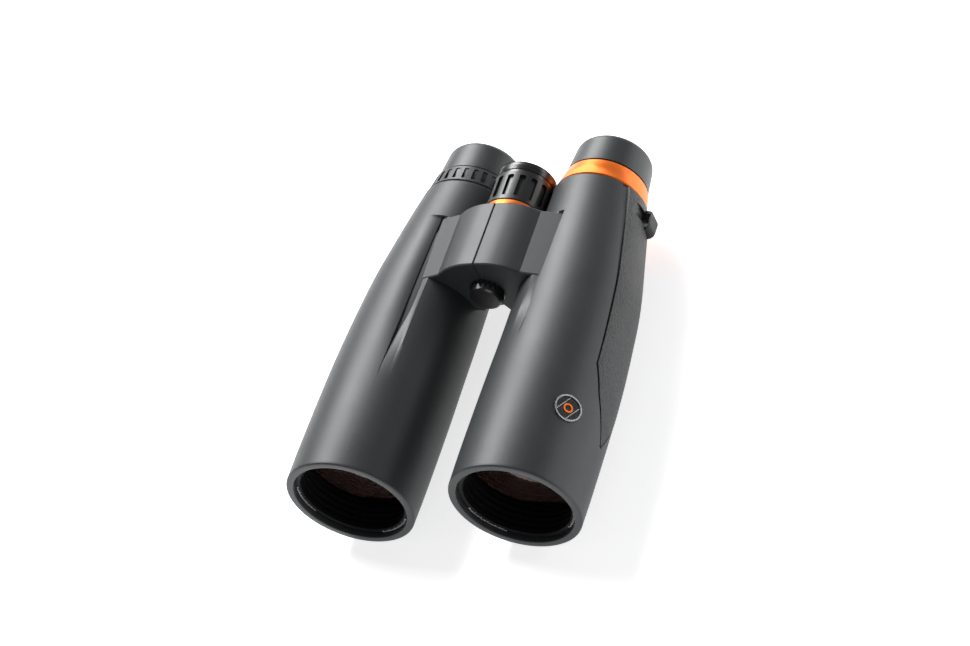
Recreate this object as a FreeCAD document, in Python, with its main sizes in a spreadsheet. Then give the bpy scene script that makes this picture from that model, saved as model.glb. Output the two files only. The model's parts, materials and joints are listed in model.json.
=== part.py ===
"""Roof-prism binoculars: two barrels on a central hinge, with centre focusing.

Frame: +Z up, Y along the optical axes with the objectives at -Y, X across the barrels. The origin
lies under the middle of the object, on the surface that it rests on. Stations are measured in
millimetres along +Y from the front rim. The left half (+X) is the user's left.
"""
import FreeCAD, Part
import Sketcher
import math
import os

from FreeCAD import Placement, Rotation, Vector

doc = FreeCAD.newDocument("binoculars")

# ---------------------------------------------------------------- driving dimensions (millimetres)

DIMENSIONS = {
    # overall
    "total_length": 223.0,
    "rim_radius": 33.5,
    "objective_spacing": 90.6,
    "eyepiece_spacing": 76.8,
    "eyepiece_rise": 2.5,
    "hinge_rise": 16.5,
    # barrel skin and casting
    "armour_thickness": 2.0,
    "casting_wall": 1.9,
    "mouth_radius": 29.3,
    "tail_casting_radius": 22.6,
    "tail_station": 189.4,
    # bridge
    "bridge_front": 120.8,
    "bridge_rear": 162.7,
    "bridge_crown": 21.5,
    "bridge_wall": 2.2,
    "knuckle_radius": 13.5,
    "knuckle_gap": 0.3,
    "axle_radius": 6.0,
    "bush_wall": 1.2,
    "running_gap": 0.05,
    # focus wheel and its drive
    "wheel_radius": 16.6,
    "wheel_front": 165.0,
    "grip_front": 169.6,
    "grip_rear": 189.2,
    "wheel_band_radius": 15.5,
    "wheel_rim_radius": 16.05,
    "wheel_rear": 196.8,
    "focus_shaft_radius": 2.5,
    "spool_radius": 9.5,
    "spool_front": 139.5,
    "spool_length": 5.0,
    # eyepieces
    "tube_radius": 17.5,
    "tube_wall": 2.0,
    "ring_front": 190.2,
    "ring_rear": 202.2,
    "ring_front_radius": 25.0,
    "ring_rear_radius": 22.7,
    "eyecup_front": 203.0,
    "eyecup_radius": 22.4,
    "eyecup_end_radius": 20.9,
    "eye_lens_radius": 13.4,
    # tripod socket and cap
    "socket_radius": 2.6,
    "socket_depth": 8.0,
    "cap_front": 115.5,
    "cap_radius": 9.0,
    # strap lugs
    "lug_reach": 70.1,
    "lug_length": 12.8,
    "lug_height": 7.6,
    "lug_station": 179.0,
    "lug_drop": 2.0,
    "lug_slot_length": 8.8,
    "lug_slot_width": 4.4,
    "lug_bar": 1.6,
    # badge
    "badge_radius": 7.1,
    "badge_rim": 0.8,
    "badge_station": 41.6,
    "badge_angle": 42.7,
}

sheet = doc.addObject("Spreadsheet::Sheet", "dims")


class Size:
    """A length that carries its value and the sheet expression that it comes from."""

    def __init__(self, value, text):
        self.value = value
        self.text = text

    def __add__(self, other):
        other = size(other)
        return Size(self.value + other.value, f"({self.text} + {other.text})")

    def __sub__(self, other):
        other = size(other)
        return Size(self.value - other.value, f"({self.text} - {other.text})")

    def __mul__(self, other):
        other = size(other)
        return Size(self.value * other.value, f"({self.text} * {other.text})")

    def __truediv__(self, other):
        other = size(other)
        return Size(self.value / other.value, f"({self.text} / {other.text})")

    __radd__ = __add__


def size(number):
    """Wrap a plain number as a Size; a Size passes through."""
    if isinstance(number, Size):
        return number
    return Size(float(number), repr(float(number)))


def write_sheet():
    """Fill the sheet with every driving dimension and return them by name."""
    named = {}
    for row, (alias, value) in enumerate(DIMENSIONS.items(), start=1):
        sheet.set(f"A{row}", alias)
        sheet.set(f"B{row}", str(value))
        sheet.setAlias(f"B{row}", alias)
        named[alias] = Size(value, f"dims.{alias}")
    doc.recompute()
    return named


D = write_sheet()
FRONT = D["total_length"] * -0.5
AXIS_HEIGHT = D["rim_radius"]
HINGE_HEIGHT = D["rim_radius"] + D["hinge_rise"]
HALVES = {"left": 1, "right": -1}
finished = []


# ---------------------------------------------------------------- helpers

def bind(obj, prop, length):
    """Bind a property to a sheet expression."""
    obj.setExpression(prop, size(length).text)


def place(obj, x=0.0, y=0.0, z=0.0, rotation=None):
    """Give an object its Placement, each coordinate bound to the sheet."""
    x, y, z = size(x), size(y), size(z)
    obj.Placement = Placement(Vector(x.value, y.value, z.value), rotation or Rotation())
    bind(obj, "Placement.Base.x", x)
    bind(obj, "Placement.Base.y", y)
    bind(obj, "Placement.Base.z", z)
    return obj


def keep(obj, label):
    """Name an object as a finished sub-part."""
    obj.Label = label
    finished.append(obj)
    return obj


def origin_plane(body, role):
    """One of a body's own origin planes or axes."""
    return next(item for item in body.Origin.OriginFeatures if item.Role == role)


def arc_between(start, end, radius):
    """An arc from start to end; a positive radius bulges to the right of the way along it."""
    chord = end - start
    side = 1 if radius > 0 else -1
    normal = Vector(chord.y, -chord.x, 0).normalize() * side
    rise = abs(radius) - math.sqrt(max(radius * radius - chord.Length ** 2 / 4, 0.0))
    middle = (start + end) * 0.5 + normal * rise
    return Part.Arc(start, middle, end)


def draw(sketch, outline):
    """Draw a closed outline of (across, along[, arc radius to the next point]) in a sketch."""
    corners = [(size(point[0]), size(point[1])) for point in outline]
    spots = [Vector(across.value, along.value, 0) for across, along in corners]
    edges = []
    for index, point in enumerate(outline):
        start = spots[index]
        end = spots[(index + 1) % len(spots)]
        if len(point) > 2:
            geometry = sketch.addGeometry(arc_between(start, end, size(point[2]).value))
            forward = (sketch.getPoint(geometry, 1) - start).Length < 1e-6
            edges.append((geometry, 1, 2) if forward else (geometry, 2, 1))
            bend = size(point[2])
            mark = sketch.addConstraint(Sketcher.Constraint("Radius", geometry, abs(bend.value)))
            sketch.setExpression(f"Constraints[{mark}]", f"abs({bend.text})")
        else:
            geometry = sketch.addGeometry(Part.LineSegment(start, end))
            edges.append((geometry, 1, 2))
    for index, (geometry, first, last) in enumerate(edges):
        following, start_of_next, _ = edges[(index + 1) % len(edges)]
        sketch.addConstraint(Sketcher.Constraint("Coincident", geometry, last, following, start_of_next))
    for (geometry, first, last), (across, along) in zip(edges, corners):
        for kind, axis, distance in (("DistanceX", -2, across), ("DistanceY", -1, along)):
            if distance.value == 0:
                sketch.addConstraint(Sketcher.Constraint("PointOnObject", geometry, first, axis))
                continue
            constraint = Sketcher.Constraint(kind, -1, 1, geometry, first, distance.value)
            mark = sketch.addConstraint(constraint)
            sketch.setExpression(f"Constraints[{mark}]", distance.text)


def turned(label, outline, x=0.0, z=HINGE_HEIGHT):
    """A piece turned about a line along Y.

    The outline is (radius, station) points, in order round the piece's section, and a third
    number is the bend radius of the run to the next point. Steps that only one piece has are
    written in its outline; sizes that pieces share come from the sheet.
    """
    body = doc.addObject("PartDesign::Body", label)
    sketch = body.newObject("Sketcher::SketchObject", f"{label}_profile")
    sketch.AttachmentSupport = (origin_plane(body, "XY_Plane"), [""])
    sketch.MapMode = "FlatFace"
    draw(sketch, outline)
    revolved = body.newObject("PartDesign::Revolution", f"{label}_turning")
    revolved.Profile = sketch
    revolved.ReferenceAxis = (sketch, ["V_Axis"])
    revolved.Angle = 360
    place(body, x, FRONT, z)
    return body


def ring_outline(inner, outer, front, rear):
    """The outline of a plain ring or, with no inner radius, of a plain disc."""
    return [(inner, front), (outer, front), (outer, rear), (inner, rear)]


def extruded(label, outline, depth, plane="XZ_Plane", **where):
    """A piece extruded symmetrically from an outline on one of its own origin planes."""
    body = doc.addObject("PartDesign::Body", label)
    sketch = body.newObject("Sketcher::SketchObject", f"{label}_outline")
    sketch.AttachmentSupport = (origin_plane(body, plane), [""])
    sketch.MapMode = "FlatFace"
    draw(sketch, outline)
    pad = body.newObject("PartDesign::Pad", f"{label}_pad")
    pad.Profile = sketch
    pad.Midplane = True
    pad.Length = size(depth).value
    bind(pad, "Length", depth)
    place(body, **where)
    return body


def cylinder(radius, front, rear, x=0.0, z=HINGE_HEIGHT):
    """A cylinder along Y between two stations."""
    obj = doc.addObject("Part::Cylinder", "cylinder")
    bind(obj, "Radius", radius)
    bind(obj, "Height", size(rear) - front)
    return place(obj, x, FRONT + rear, z, Rotation(Vector(1, 0, 0), 90))


def box(x_low, x_high, front, rear, z_low, z_high):
    """A box between two stations."""
    obj = doc.addObject("Part::Box", "box")
    bind(obj, "Length", size(x_high) - x_low)
    bind(obj, "Width", size(rear) - front)
    bind(obj, "Height", size(z_high) - z_low)
    return place(obj, x_low, FRONT + front, z_low)


def cut(base, *tools):
    """The base without the tools, taken away one after another."""
    for tool in tools:
        obj = doc.addObject("Part::Cut", "cut")
        obj.Base = base
        obj.Tool = tool
        base = obj
    return base


def fuse(*shapes):
    """Several shapes joined."""
    obj = doc.addObject("Part::MultiFuse", "fuse")
    obj.Shapes = list(shapes)
    obj.Refine = True
    return obj


def common(base, tool):
    """What two shapes share."""
    obj = doc.addObject("Part::Common", "common")
    obj.Base = base
    obj.Tool = tool
    return obj


def lofted(sections, ruled=False):
    """A solid through circles given as (station, centre x, centre z, radius), its seam below."""
    seam_below = Rotation(Vector(1, 0, 0), 90) * Rotation(Vector(0, 0, 1), -90)
    circles = []
    for station, x, z, radius in sections:
        circle = doc.addObject("Part::Circle", "section")
        bind(circle, "Radius", radius)
        place(circle, x, FRONT + station, z, seam_below)
        circles.append(circle)
    obj = doc.addObject("Part::Loft", "loft")
    obj.Sections = circles
    obj.Solid = True
    obj.Ruled = ruled
    return obj


def around_hinge(make, count, start=0.0):
    """Copies made by a function of the angle, evenly spaced about the hinge line."""
    return [make(start + 360.0 * index / count) for index in range(count)]


# ---------------------------------------------------------------- the barrel's line

def barrel_x(sign, toward_eyepiece):
    """The barrel's centre across, from the objective axis (0) to the eyepiece axis (1)."""
    spread = D["objective_spacing"] - D["eyepiece_spacing"]
    return (D["objective_spacing"] - spread * toward_eyepiece) * (0.5 * sign)


def barrel_z(toward_eyepiece):
    """The barrel's centre height, from the objective axis (0) to the eyepiece axis (1)."""
    return AXIS_HEIGHT + D["eyepiece_rise"] * toward_eyepiece


# station, how far the line has come toward the eyepiece axis, armour radius
ARMOUR_SECTIONS = (
    (0.0, 0.00, 33.2),
    (20.0, 0.00, 33.5),
    (60.0, 0.00, 33.4),
    (84.0, 0.02, 32.9),
    (108.0, 0.12, 32.1),
    (130.0, 0.25, 31.0),
    (150.0, 0.48, 29.4),
    (170.0, 0.72, 27.6),
)
CASTING_SHOULDER = 152.0
CASTING_NECK = 163.4


def armour_form(sign, inset=0.0):
    """The barrel's outer form from the rim to the tail, optionally inset."""
    sections = []
    for station, toward, radius in ARMOUR_SECTIONS:
        sections.append((station, barrel_x(sign, toward), barrel_z(toward), size(radius) - inset))
    tail_radius = size(25.6) - inset
    sections.append((D["tail_station"], barrel_x(sign, 1), barrel_z(1), tail_radius))
    return lofted(sections)


def casting_form(sign, inset=0.0, front=2.5, rear=188.0):
    """The metal casting's form: it follows the armour, then steps in to the eyepiece neck."""
    depth = D["armour_thickness"] + inset
    sections = [(front, barrel_x(sign, 0), barrel_z(0), size(33.2) - depth)]
    for station, toward, radius in ARMOUR_SECTIONS[1:6]:
        sections.append((station, barrel_x(sign, toward), barrel_z(toward), size(radius) - depth))
    shoulder = size(29.3) - depth
    neck = D["tail_casting_radius"] - inset
    sections.append((CASTING_SHOULDER, barrel_x(sign, 0.5), barrel_z(0.5), shoulder))
    sections.append((CASTING_NECK, barrel_x(sign, 0.8), barrel_z(0.8), neck))
    sections.append((rear, barrel_x(sign, 1), barrel_z(1), neck))
    return lofted(sections, ruled=True)


# ---------------------------------------------------------------- bridge and hinge

ARM_SLOT = (137.4, 146.6)        # stations between which a focus arm passes through the casting
ARM_SLOT_REACH = (7.0, 26.0)     # from the middle plane
ARM_SLOT_BELOW = (9.5, 1.5)      # below the hinge line
SPOOL_ROOM = (136.2, 147.8)      # stations between which the spool and its arms move
AXLE_BORE = (120.0, 165.0)       # stations that the bore for the axle runs through
KNUCKLES = {
    "left": ((123.1, 130.0), (154.0, 160.4)),
    "right": ((130.3, 136.2), (147.8, 153.7)),
}
BARREL_SIDE = 30.0     # how far into the barrel the bridge forms run
RELIEF_ANGLE = 25.0    # each half stays this far from the vertical below the hinge line
WEB_ANGLES = (38.0, 142.0)


def polar(sign, radius, angle):
    """A point about the hinge line, with the angle measured from +Z toward the half's own side."""
    turn = math.radians(angle)
    return size(radius) * (sign * math.sin(turn)), size(radius) * math.cos(turn)


def bridge_form(sign, inset, front, rear):
    """Half of the domed bridge, as an outline about the hinge line between two stations."""
    crown = D["bridge_crown"] - inset
    low = polar(sign, D["knuckle_radius"] - 3.0, 180.0 - RELIEF_ANGLE)
    floor = size(-15.0) + inset
    outline = [
        (size(0.0), size(0.0)),
        (size(0.0), crown),
        (size(8.0 * sign), crown - 0.7),
        (size(15.0 * sign), crown - 3.0),
        (size(22.0 * sign), crown - 6.6),
        (size(BARREL_SIDE * sign), crown - 9.2),
        (size(BARREL_SIDE * sign), floor),
        (size(7.4 * sign) + inset * sign, floor),
        low,
    ]
    middle = (size(front) + rear) * 0.5
    return extruded("bridge_form", [(x, z) for x, z in outline], size(rear) - front,
                    y=FRONT + middle, z=HINGE_HEIGHT)


def web(sign, front, rear):
    """The casting's web from a knuckle to the barrel."""
    reach = 30.0
    upper = polar(sign, reach, 70.5)
    lower = polar(sign, reach, WEB_ANGLES[1] - 12.0)
    outline = [
        polar(sign, D["axle_radius"] + 3.0, WEB_ANGLES[0]),
        upper,
        lower,
        polar(sign, D["axle_radius"] + 3.0, WEB_ANGLES[1]),
    ]
    return extruded("web", outline, size(rear) - front,
                    y=FRONT + (size(front) + rear) * 0.5, z=HINGE_HEIGHT)


def wheel_room():
    """The round room that both barrels leave for the focus wheel."""
    return cylinder(D["wheel_radius"] + 0.6, D["wheel_front"] - 0.8, 200)


def arm_slot(sign):
    """The slot that a focus arm moves in."""
    return box(*sorted_pair(sign, *ARM_SLOT_REACH), *ARM_SLOT, HINGE_HEIGHT - ARM_SLOT_BELOW[0],
               HINGE_HEIGHT - ARM_SLOT_BELOW[1])


def make_casting(side, sign):
    """The barrel's metal casting, with its knuckles and webs."""
    solid = casting_form(sign)
    bodies = [solid]
    bore = D["axle_radius"] if side == "left" else D["axle_radius"] + D["bush_wall"]
    for front, rear in KNUCKLES[side]:
        bodies.append(cylinder(D["knuckle_radius"], front, rear))
        bodies.append(web(sign, front, rear))
    other = "right" if side == "left" else "left"
    clear = [cylinder(bore, *AXLE_BORE)]
    for front, rear in KNUCKLES[other]:
        clear.append(cylinder(D["knuckle_radius"] + D["knuckle_gap"], size(front) - D["knuckle_gap"],
                              size(rear) + D["knuckle_gap"]))
    clear.append(cylinder(D["spool_radius"] + 0.6, *SPOOL_ROOM))
    hollow = casting_form(sign, D["casting_wall"], front=2.4, rear=185.6)
    eyepiece_hole = cylinder(D["tube_radius"] + D["running_gap"], 184, 190, barrel_x(sign, 1), barrel_z(1))
    casting = cut(fuse(*bodies), hollow, eyepiece_hole, arm_slot(sign), *clear)
    keep(casting, f"{side}_barrel_casting")


def sorted_pair(sign, near, far):
    """Two distances from the middle plane as low and high X for one half."""
    near, far = size(near) * sign, size(far) * sign
    return (near, far) if sign > 0 else (far, near)


def grip_outline(sign, margin):
    """The side grip's outline seen along X, as (station, height) turned to the sketch's axes."""
    low, high = -20.6, 16.2
    rear = D["tail_station"] + 2.0
    return [
        (rear + margin, AXIS_HEIGHT + low - margin),
        (rear + margin, AXIS_HEIGHT + high + margin),
        (size(74.0) - margin, AXIS_HEIGHT + high + margin),
        (size(59.0) - margin * 1.3, AXIS_HEIGHT + 10.4 + margin),
        (size(37.5) - margin * 1.5, AXIS_HEIGHT + -2.2),
        (size(59.0) - margin * 1.3, AXIS_HEIGHT + -14.8 - margin),
        (size(74.0) - margin, AXIS_HEIGHT + low - margin),
    ]


def grip_block(sign, margin):
    """A block over the barrel's outer side with the grip's outline."""
    return extruded("grip_block", grip_outline(sign, margin), 34.0, plane="YZ_Plane",
                    x=D["objective_spacing"] * (0.5 * sign) + 23.0 * sign, y=FRONT)


def make_skin(side, sign):
    """The armour, the side grip and the half bridge cover of one barrel."""
    outer = armour_form(sign)
    make_casting(side, sign)
    groove_floor = armour_form(sign, 1.0)
    pocket = cut(grip_block(sign, 0.7), groove_floor)
    mouth = cylinder(D["mouth_radius"], -1, 4, barrel_x(sign, 0), barrel_z(0))
    tail = cylinder(D["tail_casting_radius"], 188, 192, barrel_x(sign, 1), barrel_z(1))
    core = casting_form(sign)
    hollows = [wheel_room(), core, tail, mouth, pocket]
    for front, rear in KNUCKLES[side]:
        hollows.append(web(sign, front, rear))
    hollows.append(arm_slot(sign))
    hollows.append(lug_block(sign))
    hollows.append(strap_slot(sign))
    if side == "left":
        hollows.append(badge_cylinder(D["badge_radius"], BADGE_FLOOR, 40.0))
    keep(cut(outer, *hollows), f"{side}_armour")

    swell = armour_form(sign, -0.1)
    patch = cut(grip_block(sign, 0.0), fuse(lug_block(sign), strap_slot(sign)))
    grip = cut(common(swell, patch), groove_floor)
    keep(grip, f"{side}_side_grip")

    shell = cut(
        bridge_form(sign, 0.0, D["bridge_front"], D["bridge_rear"]),
        bridge_form(sign, D["bridge_wall"], D["bridge_front"] + D["bridge_wall"],
                    D["bridge_rear"] - D["bridge_wall"]),
        cylinder(D["knuckle_radius"] + D["knuckle_gap"], D["bridge_front"] + D["bridge_wall"],
                 D["bridge_rear"] - D["bridge_wall"]),
        cylinder(D["cap_radius"] + 0.5, 118, 166),
        armour_form(sign),
        *[screw_shank(1.4, -16.0, -11.0, x, station) for x, station in bridge_screw_spots(sign)],
    )
    keep(shell, f"{side}_bridge_cover")


# ---------------------------------------------------------------- hinge

def make_hinge():
    """The axle through the knuckles, its bushes and nut, and the tripod socket in its front end."""
    shaft_room = D["focus_shaft_radius"] + 1.1
    axle = turned("axle", [
        (4.5, 123.1), (D["axle_radius"], 123.1), (D["axle_radius"], 163.6), (shaft_room, 163.6),
        (shaft_room, 131.5), (4.5, 131.5),
    ])
    pin_slot = box(-8.0, 8.0, 137.9, 146.1, HINGE_HEIGHT - 1.5, HINGE_HEIGHT + 1.5)
    keep(cut(axle, pin_slot), "hinge_axle")
    bush_bore = D["axle_radius"] + D["running_gap"]
    bushes = [turned("bush", ring_outline(bush_bore, D["axle_radius"] + D["bush_wall"], *span))
              for span in KNUCKLES["right"]]
    keep(fuse(*bushes), "hinge_bushes")
    nut = turned("nut", ring_outline(D["axle_radius"], 8.9, 160.6, 162.7))
    notches = [box(*pair, 161.6, 164.0, HINGE_HEIGHT - 1.0, HINGE_HEIGHT + 1.0)
               for pair in ((-10.0, -6.8), (6.8, 10.0))]
    keep(cut(nut, *notches), "hinge_tension_nut")
    socket_floor = size(122.0) + D["socket_depth"]
    keep(turned("socket", [
        (0, socket_floor), (D["socket_radius"], socket_floor), (D["socket_radius"], 122.0),
        (7.0, 122.0), (7.0, D["bridge_front"]), (9.2, D["bridge_front"]), (9.2, 123.1),
        (4.5, 123.1), (4.5, 131.5), (0, 131.5),
    ]), "tripod_socket")


def make_tripod_cap():
    """The fluted cap that covers the tripod socket, and its seal."""
    front = D["cap_front"]
    cap = turned("cap", [
        (0, front), (7.3, front), (D["cap_radius"] - 0.8, front + 0.7), (D["cap_radius"], 118.8),
        (D["cap_radius"], 120.4), (6.9, 120.4), (6.9, 121.7), (5.6, 121.7), (5.6, 117.4), (0, 117.4),
    ])

    def flute(angle):
        x, z = polar(1, D["cap_radius"] + 0.35, angle)
        return cylinder(0.85, front - 1.0, 121.0, x, HINGE_HEIGHT + z)

    keep(cut(cap, fuse(*around_hinge(flute, 20))), "tripod_cap")
    keep(turned("seal", ring_outline(7.2, 8.6, 120.45, 120.75)), "tripod_cap_seal")


# ---------------------------------------------------------------- focusing

def recess_pattern(body, label, width, front, rear, top, depth, count):
    """Round-ended recesses sunk evenly around a turned piece."""
    sketch = body.newObject("Sketcher::SketchObject", f"{label}_recess")
    sketch.AttachmentSupport = (origin_plane(body, "XY_Plane"), [""])
    sketch.MapMode = "FlatFace"
    sketch.AttachmentOffset = Placement(Vector(0, 0, size(top).value), Rotation())
    sketch.setExpression("AttachmentOffset.Base.z", size(top).text)
    half = width * 0.5
    bend = width * 0.9
    crown = bend - math.sqrt(bend * bend - half * half)
    draw(sketch, [
        (-half, front + crown, bend), (half, front + crown), (half, rear - crown, bend),
        (-half, rear - crown),
    ])
    pocket = body.newObject("PartDesign::Pocket", f"{label}_pocket")
    pocket.Profile = sketch
    pocket.Length = size(depth).value
    pattern = body.newObject("PartDesign::PolarPattern", f"{label}_recesses")
    pattern.Originals = [pocket]
    pattern.Axis = (origin_plane(body, "Y_Axis"), [""])
    pattern.Angle = 360
    pattern.Occurrences = count
    body.Tip = pattern


def make_focus_wheel():
    """The wheel: core, ribbed grip, orange front ring, end cap, and the threaded shaft."""
    shaft = D["focus_shaft_radius"]
    grip_seat = D["wheel_radius"] - 1.9
    band = D["wheel_band_radius"]
    rim = D["wheel_rim_radius"]
    rear = D["wheel_rear"]
    keep(turned("shaft", ring_outline(0, shaft, 133.0, 192.6)), "focus_shaft")
    keep(turned("core", [
        (shaft, 166.0), (13.4, 166.0), (13.4, D["grip_front"]), (grip_seat, D["grip_front"]),
        (grip_seat, D["grip_rear"]), (13.0, D["grip_rear"]), (13.0, 191.0), (6.5, 191.0),
        (6.5, 176.0), (shaft, 176.0),
    ]), "focus_wheel_core")
    keep(turned("ring", [
        (13.4, D["wheel_front"]), (16.1, D["wheel_front"]), (D["wheel_radius"], 165.6),
        (D["wheel_radius"], 169.0), (16.2, D["grip_front"]), (13.4, D["grip_front"]),
    ]), "focus_wheel_ring")
    grip = turned("grip", [
        (grip_seat, D["grip_front"]), (16.2, D["grip_front"]), (D["wheel_radius"], 170.1),
        (D["wheel_radius"], 188.6), (16.1, D["grip_rear"]), (grip_seat, D["grip_rear"]),
    ])
    recess_pattern(grip, "grip", 3.4, 172.4, 186.8, D["wheel_radius"] + 0.5, 2.0, 16)
    keep(grip, "focus_wheel_grip")
    keep(turned("end", [
        (0, 192.6), (shaft + 2.0, 192.6), (shaft + 2.0, 191.4), (13.0, 191.4), (13.0, D["grip_rear"]),
        (band, D["grip_rear"]), (band, 191.0), (band - 0.4, 191.2), (band - 0.4, 191.6), (band, 191.8),
        (rim, 194.0), (rim, rear - 1.4), (rim - 0.4, rear - 1.2), (rim - 0.4, rear - 0.9),
        (rim - 0.1, rear - 0.7), (rim - 0.8, rear), (12.4, rear), (11.6, rear - 0.8), (0, rear - 0.8),
    ]), "focus_wheel_cap")


def make_focus_carriage():
    """The grooved spool that slides on the axle and carries both focus arms by their tongues."""
    front = D["spool_front"]
    rear = front + D["spool_length"]
    bore = D["axle_radius"] + D["running_gap"]
    spool = turned("spool", [
        (bore, front), (D["spool_radius"], front), (D["spool_radius"], front + 1.3), (7.0, front + 1.3),
        (7.0, rear - 1.3), (D["spool_radius"], rear - 1.3), (D["spool_radius"], rear), (bore, rear),
    ])
    middle = (front + rear) * 0.5
    cross_pin = box(-6.5, 6.5, middle - 1.3, middle + 1.3, HINGE_HEIGHT - 1.4, HINGE_HEIGHT + 1.4)
    nut = cylinder(D["focus_shaft_radius"] + 1.0, middle - 2.0, middle + 2.0)
    thread = cylinder(D["focus_shaft_radius"] + D["running_gap"], 130, 150)
    keep(cut(fuse(spool, cross_pin, nut), thread), "focus_carriage")


def make_focus_cell(side, sign):
    """The internal focusing lens, its cell, and the arm whose tongue rides in the spool."""
    x, z = barrel_x(sign, 0.12), barrel_z(0.12)
    low, high = HINGE_HEIGHT - 7.3, HINGE_HEIGHT - 3.7
    middle = D["spool_front"] + D["spool_length"] * 0.5
    cell = cylinder(25.0, 104, 110, x, z)
    bar = box(*sorted_pair(sign, 20.3, 22.6), 105, middle + 1.0, low, high)
    tongue = box(*sorted_pair(sign, 7.3, 22.6), middle - 1.0, middle + 1.0, low, high)
    bore = cylinder(22.0, 100, 115, x, z)
    keep(cut(fuse(cell, bar, tongue), bore), f"{side}_focus_cell")
    keep(turned("focus_lens", [
        (0, 105.8), (22.0, 104.6), (22.0, 109.4), (0, 107.8),
    ], x, z), f"{side}_focus_lens")


# ---------------------------------------------------------------- objectives and prisms

def lens(radius, front, rear, x, z, front_bend=None, rear_bend=None):
    """A lens between two stations on its axis, each face flat or bulging with a bend radius."""
    solid = cylinder(radius, front, rear, x, z)
    for bend, centre in ((front_bend, front), (rear_bend, rear)):
        if bend is None:
            continue
        ball = doc.addObject("Part::Sphere", "ball")
        bind(ball, "Radius", bend)
        offset = bend if centre == front else -bend
        place(ball, x, FRONT + (centre + offset), z)
        solid = common(solid, ball)
    return solid


def make_objective(side, sign):
    """The front bezel with its baffle rings, the lens cell and the two objective lenses."""
    x, z = barrel_x(sign, 0), barrel_z(0)
    bezel = [(27.4, 3.0), (29.2, 3.0), (29.2, 17.4), (28.2, 17.4), (28.2, 16.4), (26.9, 16.4)]
    for step in range(3):
        rear = 15.0 - 3.4 * step
        bezel += [(26.9, rear), (27.9, rear), (27.9, rear - 2.2), (26.9, rear - 2.2)]
    bezel += [(26.9, 3.6)]
    keep(turned("bezel", bezel, x, z), f"{side}_objective_bezel")
    keep(turned("objective_cell", ring_outline(28.15, 29.2, 17.5, 36.0), x, z),
         f"{side}_objective_cell")
    front_lens = lens(28.1, 17.0, 25.6, x, z, front_bend=142.0, rear_bend=125.0)
    keep(front_lens, f"{side}_objective_lens_front")
    keep(turned("rear_lens", [
        (0, 26.4), (28.1, 25.9), (28.1, 31.6), (0, 30.4),
    ], x, z), f"{side}_objective_lens_rear")


PRISM_HALF = 12.0


def make_prisms(side, sign):
    """The roof-prism pair in its cage."""
    x, z = barrel_x(sign, 0.4), barrel_z(0.4)
    front_prism = [(116.0, -12.0), (116.0, 12.0), (123.0, 12.0), (139.0, -4.0), (131.0, -12.0)]
    rear_prism = [(124.2, 12.2), (145.0, 12.2), (150.0, 7.0), (150.0, -12.0), (147.6, -12.0), (140.0, -3.6)]
    for name, outline in (("front", front_prism), ("rear", rear_prism)):
        piece = extruded("prism", outline, PRISM_HALF * 2, plane="YZ_Plane", x=x, y=FRONT, z=z)
        keep(piece, f"{side}_prism_{name}")
    plates = [box(x + low, x + high, 113.5, 152.0, z - 13.0, z + 13.0)
              for low, high in ((-14.0, -12.1), (12.1, 14.0))]
    front_plate = cut(cylinder(18.5, 113.0, 114.5, x, z), cylinder(11.0, 112, 116, x, z))
    rear_plate = cut(cylinder(24.0, 151.0, 153.0, x, z), cylinder(10.0, 150, 154, x, z))
    keep(fuse(*plates, front_plate, rear_plate), f"{side}_prism_cage")


# ---------------------------------------------------------------- eyepieces

def make_eyepiece(side, sign):
    """The eyepiece tube with its optics, the ring at its foot and the twist-up eyecup."""
    x, z = barrel_x(sign, 1), barrel_z(1)
    tube, bore = D["tube_radius"], D["tube_radius"] - D["tube_wall"]
    keep(turned("tube", [
        (bore, 166.0), (tube, 166.0), (tube, 188.0), (22.4, 188.0), (22.4, 190.0), (tube, 190.0),
        (tube, 216.0), (bore, 216.0), (bore, 170.5), (9.0, 170.5), (9.0, 169.0), (bore, 169.0),
    ], x, z), f"{side}_eyepiece_tube")
    slack = 0.0 if side == "left" else 0.05
    cell_radius = bore - slack
    keep(turned("ocular_cell", [
        (D["eye_lens_radius"], 194.0), (cell_radius, 194.0), (cell_radius, 212.0),
        (D["eye_lens_radius"], 212.0),
    ], x, z), f"{side}_ocular_cell")
    keep(lens(D["eye_lens_radius"], 195.4, 199.4, x, z, front_bend=60.0), f"{side}_field_lens")
    keep(lens(D["eye_lens_radius"], 203.0, 208.9, x, z, rear_bend=60.0), f"{side}_eye_lens")
    make_foot_ring(side, x, z)
    make_eyecup(side, x, z)


def make_foot_ring(side, x, z):
    """The fixed orange trim ring on the left, or the turning dioptre ring on the right."""
    front, rear = D["ring_front"], D["ring_rear"]
    dioptre = side == "right"
    inner = D["tube_radius"] + (0.06 if dioptre else 0.02)
    wide = D["ring_front_radius"]
    narrow = D["ring_rear_radius"] + (0.5 if dioptre else 0.0)
    ring = turned("foot_ring", [
        (inner, front), (wide - 0.5, front), (wide, front + 0.6), (narrow, rear - 0.5),
        (narrow - 0.5, rear), (inner, rear),
    ], x, z)
    if dioptre:
        recess_pattern(ring, "dioptre", 2.6, 192.0, 200.2, wide + 0.4, 2.4, 29)
    keep(ring, "dioptre_ring" if dioptre else "left_trim_ring")


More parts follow.
